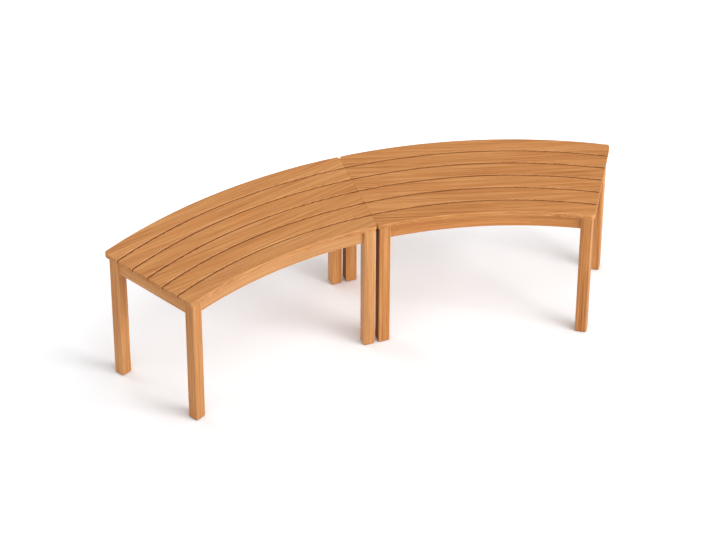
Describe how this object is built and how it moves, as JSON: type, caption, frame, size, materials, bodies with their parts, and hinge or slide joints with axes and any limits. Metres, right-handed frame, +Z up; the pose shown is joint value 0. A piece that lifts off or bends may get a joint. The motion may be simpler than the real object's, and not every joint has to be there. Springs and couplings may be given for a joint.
{
  "type": "tree bench",
  "caption": "Backless curved bench of hardwood slats on square legs, in two matching arc-shaped sections that stand side by side round a tree.",
  "frame": {"origin": "on the ground, under the middle of the bench's outer box", "axes": "+X across the bench to the right section, +Y away from the tree, +Z up"},
  "size_m": [1.5706, 0.5106, 0.45],
  "materials": {
    "slat_wood": "satin, oiled",
    "frame_wood": "satin, oiled",
    "screw_steel": "plain stainless"
  },
  "bodies": {
    "left_section": {"left_seat_slat_1": "slat_wood", "left_seat_slat_2": "slat_wood", "left_seat_slat_3": "slat_wood", "left_seat_slat_4": "slat_wood", "left_seat_slat_5": "slat_wood", "left_seat_slat_6": "slat_wood", "left_inner_apron": "frame_wood", "left_outer_apron": "frame_wood", "left_end_rail": "frame_wood", "left_middle_rail": "frame_wood", "left_seat_bearer": "frame_wood", "left_inner_end_leg": "frame_wood", "left_inner_middle_leg": "frame_wood", "left_outer_end_leg": "frame_wood", "left_outer_middle_leg": "frame_wood", "left_seat_screws": "screw_steel"},
    "right_section": {"right_seat_slat_1": "slat_wood", "right_seat_slat_2": "slat_wood", "right_seat_slat_3": "slat_wood", "right_seat_slat_4": "slat_wood", "right_seat_slat_5": "slat_wood", "right_seat_slat_6": "slat_wood", "right_inner_apron": "frame_wood", "right_outer_apron": "frame_wood", "right_end_rail": "frame_wood", "right_middle_rail": "frame_wood", "right_seat_bearer": "frame_wood", "right_inner_end_leg": "frame_wood", "right_inner_middle_leg": "frame_wood", "right_outer_end_leg": "frame_wood", "right_outer_middle_leg": "frame_wood", "right_seat_screws": "screw_steel"}
  },
  "joints": [
    {"name": "section_slide", "type": "slide", "parent": "left_section", "child": "right_section", "axis": [1, 0, 0], "range_m": [0, 0.6]}
  ]
}
